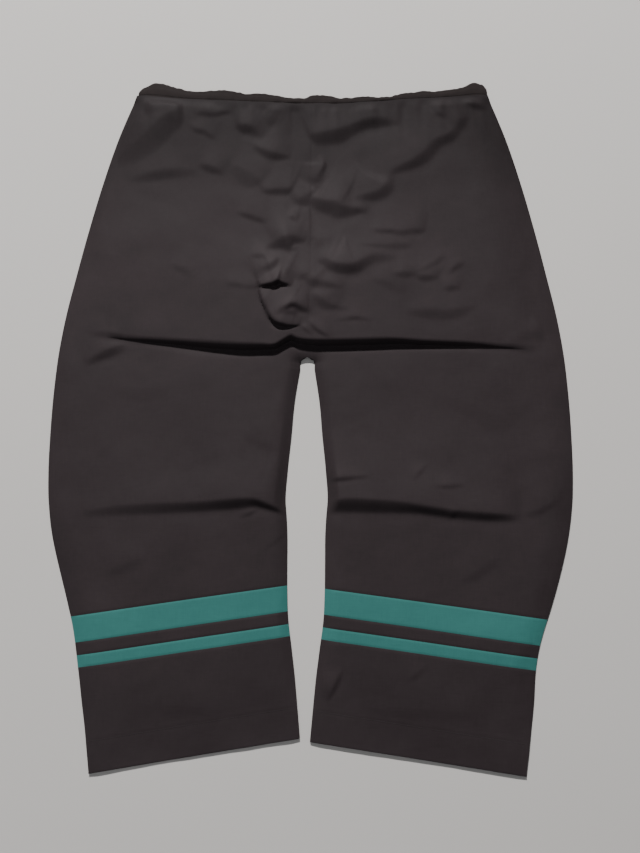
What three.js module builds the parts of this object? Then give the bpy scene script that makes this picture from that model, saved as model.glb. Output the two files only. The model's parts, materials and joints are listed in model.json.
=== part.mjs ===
// Long hockey over-pants, laid flat on a table with their back side up.
// The wearer's left is -X, the waist is at +Y, the hems are at -Y, and the table is z = 0.
// Every piece of cloth is a thin closed slab: the front layer lies flat on the table, the back
// layer rests on the seams at its edges and arches over the hollow that the legs go into.
import * as THREE from "three";

// ---- Driving dimensions, in millimetres ----
const LENGTH = 1000; // waist tips to outer hem corners
const WAIST_TIP_Y = LENGTH / 2;
const WAIST_DIP = 23; // how far the waist sags at the centre
const BAND_HEIGHT = 18;
const BAND_THICKNESS = 5;
const BAND_WALL = 1.2;
const WAIST_RADIUS = 7; // half the height between the middles of the two layers' bands
const WAIST_SIDE_RADIUS = 3.2; // the same at the side seams, where the band turns round
const ELASTIC_WIDTH = 14;
const ELASTIC_THICKNESS = 2;
const CLOTH = 2; // a layer of cloth with its seams pressed in
const GAP = 0.3; // between pieces that touch
const HINGE_GAP = 0.6; // between the slabs on the two sides of a fold line
const CROTCH_Y = 76;
const HIP_FOLD_Y = 60;
const KNEE_FOLD_Y = -136;
const SEAM_WIDTH = 9;
const SEAM_THICKNESS = 1.6;
const CENTRE_SEAM_HALF = 6;
const CENTRE_BACK_SEAM_END_Y = 150;
const HANG = 1.2; // between the arched back layer and the seam or hem sewn inside it
const HEM_DEPTH = 60; // the cloth turned up inside each leg
const HEM_THICKNESS = 1.2;
const HEM_MARGIN = 0.08; // share of the leg's width that the turned-up cloth stays clear of each seam
const WIDE_STRIPE = 35.5; // stripe widths measured down the leg
const SPACER = 17;
const NARROW_STRIPE = 16.5;

// Rows that cross a leg, each as its y at the inseam and its y at the side seam.
const STRIPE_TOP = { inner: -251, outer: -292 };
const HEM = { inner: -456, outer: -LENGTH / 2 };

// Half of the whole width over y, from the waist down to the hem.
const SIDE_OUTLINE = [
  [500, 251], [445, 274], [350, 304], [210, 338], [80, 362], [-90, 369],
  [-180, 360], [-260, 340], [-300, 327], [-340, 317], [-400, 309], [-500, 295],
];
// Half of the gap between the legs over y, from the crotch down to the hem.
const INSEAM_OUTLINE = [
  [CROTCH_Y, 0.15], [58, 11], [10, 18], [-60, 24], [-120, 30], [-160, 27],
  [-260, 26], [-300, 24], [-360, 16], [-456, 7],
];
// Height of the back layer's underside, away from its edges, over y.
const ARCH = [
  [500, 14], [440, 16], [320, 24], [180, 24], [110, 21], [HIP_FOLD_Y, 13], [-500, 13],
];
const EDGE_UNDERSIDE = CLOTH + GAP + SEAM_THICKNESS + GAP;
const FLAT_EDGE = SEAM_WIDTH + 1;

// ---- Colours ----
const clothBlack = new THREE.MeshStandardMaterial({ color: 0x383335, roughness: 0.78, metalness: 0 });
const clothTeal = new THREE.MeshStandardMaterial({ color: 0x2f716e, roughness: 0.8, metalness: 0 });
const bandBlack = new THREE.MeshStandardMaterial({ color: 0x2b2828, roughness: 0.85, metalness: 0 });
const elasticBlack = new THREE.MeshStandardMaterial({ color: 0x1d1c1d, roughness: 0.9, metalness: 0 });
const seamBlack = new THREE.MeshStandardMaterial({ color: 0x242122, roughness: 0.9, metalness: 0 });

// ---- Curves ----
const mix = (a, b, t) => a + (b - a) * t;

// A smooth curve through [y, value] pairs listed from high y to low y, level past its ends.
function through(pairs) {
  const slopes = pairs.map((_, i) => {
    const [before, after] = [pairs[Math.max(i - 1, 0)], pairs[Math.min(i + 1, pairs.length - 1)]];
    return (after[1] - before[1]) / (after[0] - before[0]);
  });
  return (y) => {
    if (y >= pairs[0][0]) return pairs[0][1];
    const last = pairs.length - 1;
    if (y <= pairs[last][0]) return pairs[last][1];
    const i = pairs.findIndex((p) => p[0] < y) - 1;
    const [[y0, a], [y1, b]] = [pairs[i], pairs[i + 1]];
    const h = y1 - y0;
    const t = (y - y0) / h;
    const hermite = [2 * t ** 3 - 3 * t ** 2 + 1, t ** 3 - 2 * t ** 2 + t];
    return (
      hermite[0] * a + hermite[1] * h * slopes[i] +
      (1 - hermite[0]) * b + (t ** 3 - t ** 2) * h * slopes[i + 1]
    );
  };
}

const sideHalf = through(SIDE_OUTLINE);
const gapHalf = through(INSEAM_OUTLINE);
const archOver = through(ARCH);

// The waist's top edge at a share of the half width, 0 at the centre and 1 at the side.
const waistTop = (share) => WAIST_TIP_Y - WAIST_DIP * (1 - share ** 2);
const bandBottom = (share) => waistTop(share) - BAND_HEIGHT;

// The back layer's underside at a point: flat on the seams, then rising to the arch.
function backUnderside(x, y) {
  const rise = y > HIP_FOLD_Y ? mix(45, 80, Math.min(1, (y - HIP_FOLD_Y) / 100)) : 45;
  const fromSide = sideHalf(y) - Math.abs(x);
  const fromInseam = y < CROTCH_Y ? Math.abs(x) - gapHalf(y) : Math.hypot(x, y - CROTCH_Y);
  const lift = (d) => THREE.MathUtils.smoothstep(d, FLAT_EDGE, rise);
  return mix(EDGE_UNDERSIDE, archOver(y), lift(fromSide) * lift(fromInseam));
}
const frontUnderside = () => 0;

// ---- Solids ----
// A unit box in (u, v, w), cut into columns and steps, with each vertex put where place says.
function mapped(columns, steps, place) {
  const box = new THREE.BoxGeometry(1, 1, 1, columns, steps, 1).translate(0.5, 0.5, 0.5);
  const p = box.attributes.position;
  for (let i = 0; i < p.count; i++) p.setXYZ(i, ...place(p.getX(i), p.getY(i), p.getZ(i)));
  box.computeVertexNormals();
  return box;
}

// A panel of one side (-1 left, +1 right) between two rows, each row a function of the share of
// the way from the centre or inseam (0) to the side seam (1).
function panel(side, low, high, underside, thickness, columns, steps, shares = [0, 1]) {
  return mapped(columns, steps, (u, v, w) => {
    const eased = 0.5 - 0.5 * Math.cos(Math.PI * u);
    const t = mix(...shares, side > 0 ? eased : 1 - eased);
    const inner = gapHalf(mix(low(0), high(0), v));
    const outer = sideHalf(mix(low(1), high(1), v));
    const x = side * mix(inner, outer, t);
    const y = mix(low(t), high(t), v);
    return [x, y, underside(x, y) + w * thickness];
  });
}

// A strip that follows an outline, from one distance inside it to another.
function edgeStrip(side, outline, inward, low, high, steps) {
  return mapped(1, steps, (u, v, w) => {
    const y = mix(low, high, v);
    const distance = 1 + SEAM_WIDTH * (side * inward > 0 ? u : 1 - u);
    return [side * (outline(y) + inward * distance), y, CLOTH + GAP + w * SEAM_THICKNESS];
  });
}

// The flattened waist loop as [share of the half width, direction of the loop's outer face]:
// along the front, round the right side, back along the back, and round the left side.
const WAIST_LOOP = [];
for (let i = -6; i <= 6; i++) WAIST_LOOP.push([i / 6, -Math.PI / 2]);
for (let i = -1; i <= 1; i++) WAIST_LOOP.push([1, (i * Math.PI) / 4]);
for (let i = 6; i >= -6; i--) WAIST_LOOP.push([i / 6, Math.PI / 2]);
for (let i = 3; i <= 5; i++) WAIST_LOOP.push([-1, (i * Math.PI) / 4]);

// A closed ring round the waist. Its section is a list of [y from the waist's top edge, distance
// out from the middle of the band], and every section point goes once round the loop.
function waistRing(section) {
  const across = WAIST_LOOP.length;
  const ring = new THREE.TorusGeometry(2, 1, section.length, across);
  const p = ring.attributes.position;
  for (let i = 0; i < p.count; i++) {
    const [share, turn] = WAIST_LOOP[(i % (across + 1)) % across];
    const [down, out] = section[Math.floor(i / (across + 1)) % section.length];
    const width = sideHalf(WAIST_TIP_Y + down);
    const radius = mix(WAIST_RADIUS, WAIST_SIDE_RADIUS, share ** 4);
    const straightHalf = width - WAIST_SIDE_RADIUS - BAND_THICKNESS / 2;
    const x = share * straightHalf + Math.cos(turn) * (radius + out);
    const z = BAND_THICKNESS / 2 + radius + Math.sin(turn) * (radius + out);
    p.setXYZ(i, x, waistTop(x / width) + down, z);
  }
  ring.computeVertexNormals();
  return ring;
}

const group = new THREE.Group();
function add(name, geometry, material) {
  const mesh = new THREE.Mesh(geometry, material);
  mesh.name = name;
  group.add(mesh);
}

// ---- Waistband: a casing folded over the elastic, open along its sewn lower edge ----
const half = BAND_THICKNESS / 2;
const slotTop = -2 * BAND_WALL;
add("waistband", waistRing([
  [0, half], [-BAND_HEIGHT, half], [-BAND_HEIGHT, half - BAND_WALL], [slotTop, half - BAND_WALL],
  [slotTop, BAND_WALL - half], [-BAND_HEIGHT, BAND_WALL - half], [-BAND_HEIGHT, -half], [0, -half],
]), bandBlack);
const elasticTop = slotTop - GAP;
const elasticHalf = ELASTIC_THICKNESS / 2;
add("waist_elastic", waistRing([
  [elasticTop, elasticHalf], [elasticTop - ELASTIC_WIDTH, elasticHalf],
  [elasticTop - ELASTIC_WIDTH, -elasticHalf], [elasticTop, -elasticHalf],
]), elasticBlack);

// ---- Centre seams, where the left and right panels are joined ----
const centreTopY = bandBottom(0) - 1;
add("centre_back_seam", mapped(2, 8, (u, v, w) => {
  const x = mix(-CENTRE_SEAM_HALF, CENTRE_SEAM_HALF, u);
  const y = mix(CENTRE_BACK_SEAM_END_Y, centreTopY, v);
  return [x, y, backUnderside(x, y) - HANG - (1 - w) * SEAM_THICKNESS];
}), seamBlack);
add("centre_front_seam", mapped(1, 1, (u, v, w) => [
  mix(-CENTRE_SEAM_HALF, CENTRE_SEAM_HALF, u),
  mix(CROTCH_Y + 4, centreTopY, v),
  CLOTH + GAP + w * SEAM_THICKNESS,
]), seamBlack);

// ---- The two sides, down from the waist ----
const straight = (y) => () => y;
const slanted = ({ inner, outer }) => (t) => mix(inner, outer, t);
const moved = (row, by) => ({ inner: row.inner + by, outer: row.outer + by });
const layers = [
  ["back", backUnderside, 8, 1],
  ["front", frontUnderside, 1, 0],
];

for (const [name, side] of [["left", -1], ["right", 1]]) {
  const wideLow = moved(STRIPE_TOP, -WIDE_STRIPE);
  const spacerLow = moved(wideLow, -SPACER);
  const narrowLow = moved(spacerLow, -NARROW_STRIPE);
  // Each run of cloth: its name, its lower and upper rows, its steps, and its material.
  const runs = [
    ["seat", straight(HIP_FOLD_Y + HINGE_GAP / 2), (t) => bandBottom(t) - GAP, 9, clothBlack],
    ["thigh", straight(KNEE_FOLD_Y + HINGE_GAP / 2), straight(HIP_FOLD_Y - HINGE_GAP / 2), 4, clothBlack],
    ["knee", slanted(moved(STRIPE_TOP, GAP)), straight(KNEE_FOLD_Y - HINGE_GAP / 2), 4, clothBlack],
    ["wide_stripe", slanted(moved(wideLow, GAP)), slanted(STRIPE_TOP), 1, clothTeal],
    ["spacer", slanted(moved(spacerLow, GAP)), slanted(wideLow), 1, clothBlack],
    ["narrow_stripe", slanted(moved(narrowLow, GAP)), slanted(spacerLow), 1, clothTeal],
    ["cuff", slanted(HEM), slanted(narrowLow), 3, clothBlack],
  ];
  for (const [layer, underside, columns, isBack] of layers) {
    for (const [run, low, high, steps, material] of runs) {
      const across = run === "seat" ? 8 : columns;
      add(`${name}_${layer}_${run}`, panel(side, low, high, underside, CLOTH, across, steps), material);
    }
    const hemUnderside = isBack
      ? (x, y) => backUnderside(x, y) - HANG - HEM_THICKNESS
      : () => CLOTH + GAP;
    const hem = panel(
      side, slanted(moved(HEM, 1)), slanted(moved(HEM, HEM_DEPTH)), hemUnderside,
      HEM_THICKNESS, isBack ? 6 : 1, 1, [HEM_MARGIN, 1 - HEM_MARGIN],
    );
    add(`${name}_${layer}_hem`, hem, seamBlack);
  }
  const sideSeam = (low, high, steps) => edgeStrip(side, sideHalf, -1, low, high, steps);
  const inseam = (low, high, steps) => edgeStrip(side, gapHalf, 1, low, high, steps);
  const [hipLow, hipHigh] = [HIP_FOLD_Y - HINGE_GAP / 2, HIP_FOLD_Y + HINGE_GAP / 2];
  const [kneeLow, kneeHigh] = [KNEE_FOLD_Y - HINGE_GAP / 2, KNEE_FOLD_Y + HINGE_GAP / 2];
  add(`${name}_side_seam_hip`, sideSeam(hipHigh, bandBottom(1) - 3, 6), seamBlack);
  add(`${name}_side_seam_thigh`, sideSeam(kneeHigh, hipLow, 4), seamBlack);
  add(`${name}_side_seam_shin`, sideSeam(HEM.outer + 2, kneeLow, 8), seamBlack);
  add(`${name}_inseam_thigh`, inseam(kneeHigh, hipLow, 4), seamBlack);
  add(`${name}_inseam_shin`, inseam(HEM.inner + 2, kneeLow, 8), seamBlack);
}

export default group;
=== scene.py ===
"""Long hockey over-pants laid flat, back side up: two layers of dark woven cloth with teal stripes.

Everything is in metres in the frame of the CAD part: the wearer's left is -X, the waist is at +Y,
the hems are at -Y, and the floor is z = 0. A layer of cloth is a function that takes flat places
(x, y) and gives the points of its outer side. Every piece of a layer samples that one function, so
neighbouring pieces meet along their seams.
"""

import json
import math

import bpy
import numpy as np
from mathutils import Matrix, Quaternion, Vector


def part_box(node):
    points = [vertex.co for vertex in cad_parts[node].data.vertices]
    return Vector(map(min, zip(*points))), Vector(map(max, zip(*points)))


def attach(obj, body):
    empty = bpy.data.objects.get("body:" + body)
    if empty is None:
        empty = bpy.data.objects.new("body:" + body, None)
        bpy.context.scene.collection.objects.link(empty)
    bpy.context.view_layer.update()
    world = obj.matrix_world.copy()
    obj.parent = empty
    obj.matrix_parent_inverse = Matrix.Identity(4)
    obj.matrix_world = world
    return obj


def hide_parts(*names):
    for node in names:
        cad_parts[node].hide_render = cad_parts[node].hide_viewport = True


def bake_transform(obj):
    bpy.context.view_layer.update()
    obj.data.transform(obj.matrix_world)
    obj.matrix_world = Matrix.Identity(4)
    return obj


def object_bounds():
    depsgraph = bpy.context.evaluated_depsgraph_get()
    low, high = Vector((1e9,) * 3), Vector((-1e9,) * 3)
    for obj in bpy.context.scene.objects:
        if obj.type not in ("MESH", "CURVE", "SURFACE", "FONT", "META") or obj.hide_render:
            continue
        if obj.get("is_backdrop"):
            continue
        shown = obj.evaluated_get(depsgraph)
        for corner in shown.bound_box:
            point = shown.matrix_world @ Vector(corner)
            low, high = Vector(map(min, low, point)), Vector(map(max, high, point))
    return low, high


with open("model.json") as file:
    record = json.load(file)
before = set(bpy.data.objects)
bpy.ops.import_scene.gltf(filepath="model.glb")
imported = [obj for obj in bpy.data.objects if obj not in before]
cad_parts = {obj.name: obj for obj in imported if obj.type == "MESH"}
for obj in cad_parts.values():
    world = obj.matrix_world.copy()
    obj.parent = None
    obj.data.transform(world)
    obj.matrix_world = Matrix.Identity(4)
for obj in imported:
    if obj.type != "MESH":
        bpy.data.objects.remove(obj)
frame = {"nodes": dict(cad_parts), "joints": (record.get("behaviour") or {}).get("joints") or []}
CAD_LOW, CAD_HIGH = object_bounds()

# ---- Sizes ----
MM = 0.001
CLOTH = 0.7 * MM  # thickness of the shell cloth
SEAM_INSET = 1 * MM  # from the edge of the cloth to the CAD's seam strips
WAIST_TIP = CAD_HIGH.y
BAND_END = WAIST_TIP - 22 * MM  # the waistband's lower edge at the side seams
BAND_HEIGHT = 18 * MM
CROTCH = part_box("left_front_seat")[0].y + 16 * MM
CROTCH_ARCH = 8 * MM  # height of the round arch where the gap between the legs closes
FOLD_LINES = {joint["name"]: joint["pos_m"][1] for joint in frame["joints"]}
HIP_FOLD = FOLD_LINES["left_hip_fold"]
KNEE_FOLD = FOLD_LINES["left_knee_fold"]
THIGH_JOIN = (HIP_FOLD + KNEE_FOLD) / 2  # where a leg's two long pieces meet
HEM_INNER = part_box("right_inseam_shin")[0].y - 2 * MM
HEM_OUTER = CAD_LOW.y
HEM_DEPTH = 45 * MM
HEM_STITCH_DROP = 4 * MM  # the hem's stitches lie this far below its turned-up edge
WAIST_MIDDLE = 5.8 * MM  # half the height between the middles of the two layers' bands
WAIST_END = 1 * MM  # the same at the side seams, where the band turns round
BAND_HALF = 1.5 * MM  # half the band's thickness
GAP_SHIFT = 5 * MM  # how far the gap between the legs lies to the left of the middle
PUSH_INNER, PUSH_OUTER = 4.5 * MM, 1.5 * MM  # how far the left leg's end is pushed up, per edge
FLOOR_CLEARANCE = 0.4 * MM
SEAM_EDGE = 2 * MM  # height of the back layer's outer side at its edges
HEM_EDGE = 3.7 * MM  # the same where both hems are turned up
HEM_ROLL = 0.8 * MM  # outer radius of a hem's fold
HEM_NARROWING = 0.9  # mean width of the turned-up strip over the width of the cuff
STRIPE_TOP_INNER, STRIPE_TOP_OUTER = -251 * MM, -292 * MM
STRIPE_SEAMS = [0, 35.5 * MM, 52.5 * MM, 69 * MM]  # down from the wide stripe's upper edge
SIDES = {"left": -1, "right": 1}


# ---- Arithmetic ----
def mix(a, b, t):
    """The point a share t of the way from a to b."""
    return a + (b - a) * t


def ease(value, low, high):
    """0 below low and 1 above high, with a smooth S between: 3t^2 - 2t^3."""
    t = np.clip((value - low) / (high - low), 0, 1)
    return t * t * (3 - 2 * t)


def bell(away, spread):
    """1 on a line and 0 far from it: e to the power of -(distance / spread)^2."""
    return np.exp(-((away / spread) ** 2))


def through(places, values):
    """A smooth curve through the values at the given places: a cubic between each pair, whose slope
    at each place is that of the line between its two neighbours. It is level past both ends."""
    order = np.argsort(places)
    places, values = np.asarray(places, float)[order], np.asarray(values, float)[order]
    slopes = np.gradient(values, places)

    def curve(at):
        at = np.clip(at, places[0], places[-1])
        i = np.clip(np.searchsorted(places, at) - 1, 0, len(places) - 2)
        span = places[i + 1] - places[i]
        t = (at - places[i]) / span
        start = values[i] + (3 * t**2 - 2 * t**3) * (values[i + 1] - values[i])
        bend = (t**3 - 2 * t**2 + t) * slopes[i] + (t**3 - t**2) * slopes[i + 1]
        return start + span * bend

    return curve


NET, LINE = 97, 311  # random numbers along each side of a net of bumps, and along a row of pleats


def bumps(x, y, size, seed):
    """Smooth random heights from -1 to 1: random numbers on a turned square net of the given size,
    eased from corner to corner."""
    random = np.random.default_rng(seed)
    turn = random.uniform(0, math.pi)
    net = random.uniform(-1, 1, (NET, NET))
    u = (x * math.cos(turn) + y * math.sin(turn)) / size + 1000
    v = (y * math.cos(turn) - x * math.sin(turn)) / size + 1000
    i, j = np.floor(u).astype(int), np.floor(v).astype(int)
    s, t = ease(u - i, 0, 1), ease(v - j, 0, 1)
    low = mix(net[i % NET, j % NET], net[(i + 1) % NET, j % NET], s)
    high = mix(net[i % NET, (j + 1) % NET], net[(i + 1) % NET, (j + 1) % NET], s)
    return mix(low, high, t)


def pleats(x, size, seed):
    """Smooth random heights from -1 to 1 that vary along x only."""
    net = np.random.default_rng(seed).uniform(-1, 1, LINE)
    i = np.floor(x / size + 100).astype(int)
    return mix(net[i % LINE], net[(i + 1) % LINE], ease(x / size + 100 - i, 0, 1))


# ---- Outline, read from the CAD's seam strips ----
def seam_points(kind):
    """The distinct (y, |x|) pairs of the corners of the right side's seam strips of one kind."""
    found = set()
    for node, strip in frame["nodes"].items():
        if node.startswith(f"right_{kind}"):
            found |= {(round(v.co.y, 5), round(abs(v.co.x), 5)) for v in strip.data.vertices}
    return found


def outline(kind, pick, inset):
    """The cloth's edge |x| as a smooth function of y, along one kind of seam."""
    rows = {}
    for y, x in seam_points(kind):
        rows[y] = pick(rows.get(y, x), x)
    places = sorted(rows)
    return through(places, [rows[y] + inset for y in places])


side_half = outline("side_seam", max, SEAM_INSET)
inseam_half = outline("inseam", min, -SEAM_INSET)


def gap_half(y):
    """Half the gap between the legs at y: the inseam's edge, closing in a round arch at the crotch."""
    below = np.clip((CROTCH - y) / CROTCH_ARCH, 0, 1)
    return np.where(y < CROTCH, inseam_half(y) * np.sqrt(1 - (1 - below) ** 2), 0.0)


# The waistband's ruffled upper edge and its steadier lower one, as y over x.
band_top = through(
    np.array([-250, -240, -200, -180, -150, -130, -100, -70, -20, 10, 45, 75, 115, 130, 160, 195,
              225, 240, 250]) * MM,
    np.array([489, 494, 486, 481, 480, 481, 476, 476, 468, 474, 469, 472, 472, 477, 481, 484, 492,
              499, 497]) * MM,
)
band_foot = through(
    np.array([-250, -200, -140, -60, 45, 120, 190, 250]) * MM,
    np.array([475, 468, 464, 461, 460, 466, 471, 478]) * MM,
)


def waist_seam(across):
    """The row where the legs' cloth is sewn to the waistband, from -1 to 1 across the waist."""
    return band_foot(across * side_half(BAND_END))


# How far each side seam lies outside the flat outline, over y.
left_slack = through(
    np.array([-500, -450, -400, -355, -320, -290, -150]) * MM,
    np.array([2, 1.6, 2.6, 3.6, 2.6, 0.4, 1.5]) * MM,
)
right_slack = through(
    np.array([-500, -400, -350, -310, -150]) * MM,
    np.array([0, 0, -1.6, 0, 3.5]) * MM,
)


def settled(x, y):
    """Flat places moved a little to where the cloth was laid: the gap between the legs is shifted
    towards the left, less and less towards the side seams and above the crotch, the side seams
    have their slack, and the left leg's lower end is pushed up a little."""
    share = np.clip(np.abs(x) / side_half(y), 0, 1)
    gap = GAP_SHIFT * (1 - share) * (1 - ease(y, CROTCH - 40 * MM, CROTCH + 160 * MM))
    slack = np.where(x > 0, right_slack(y), left_slack(y)) * share**2
    push = np.where(x < 0, mix(PUSH_INNER, PUSH_OUTER, share), 0) * ease(-y, 150 * MM, 250 * MM)
    return x - gap + np.sign(x) * slack, y + push


# ---- Folds of the back layer ----
class Fold:
    """A crease in the cloth. It runs from left to right along a smooth path of (x, y, height,
    width) points in millimetres. From its crest the cloth falls over that width on the right-hand
    side, where it ends in a shallow trough, and dies away slowly over the left-hand one. A lean
    carries the crest over the steep side. A rolled crease starts level and ends upright."""

    def __init__(self, path, gentle, lean=0.0, trough=0.1, rolled=False):
        path = np.array(path, float) * MM
        steps = np.linspace(0, len(path) - 1, 3 * (len(path) - 1) + 1)
        knots = np.arange(len(path))
        self.path = np.stack([through(knots, path[:, k])(steps) for k in range(4)], -1)
        self.gentle = gentle * MM
        self.lean, self.trough, self.rolled = lean, trough, rolled

    def add_to(self, x, y, shift):
        """Adds this fold to shift, the (x, y, z) displacement of each place."""
        reach = 9 * self.gentle
        low, high = self.path[:, :2].min(0) - reach, self.path[:, :2].max(0) + reach
        near = (x > low[0]) & (x < high[0]) & (y > low[1]) & (y < high[1])
        if not near.any():
            return
        px, py = x[near], y[near]
        nearest = np.full(px.shape, np.inf)
        across, height, width = (np.zeros_like(px) for _ in range(3))
        left = np.zeros((2, *px.shape))
        for a, b in zip(self.path[:-1], self.path[1:]):
            length = np.hypot(*(b - a)[:2])
            along = (b - a)[:2] / length
            s = np.clip((px - a[0]) * along[0] + (py - a[1]) * along[1], 0, length)
            dx, dy = px - a[0] - s * along[0], py - a[1] - s * along[1]
            away = np.hypot(dx, dy)
            closer = away < nearest
            side = np.where(along[0] * dy - along[1] * dx >= 0, 1, -1)
            nearest = np.where(closer, away, nearest)
            across = np.where(closer, away * side, across)
            height = np.where(closer, mix(a[2], b[2], s / length), height)
            width = np.where(closer, mix(a[3], b[3], s / length), width)
            left[0] = np.where(closer, -along[1], left[0])
            left[1] = np.where(closer, along[0], left[1])
        share = height / self.path[:, 2].max()
        up = np.maximum(across, 0) / (self.gentle * mix(0.3, 1, share))
        down = np.maximum(-across, 0) / width
        if self.rolled:
            fall = (1 - np.clip(down, 0, 1) ** 2) ** 0.6
        else:
            fall = 1 - mix(ease(down, 0, 1), np.clip(down, 0, 1), 0.7)
        crest = np.where(across > 0, (1 + up) * np.exp(-up), fall)
        dip = self.trough * bell(down - 1.3, 0.6) * (across < 0)
        shift[2][near] += height * (crest - dip)
        shift[0][near] -= self.lean * height * crest * left[0]
        shift[1][near] -= self.lean * height * crest * left[1]


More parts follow.
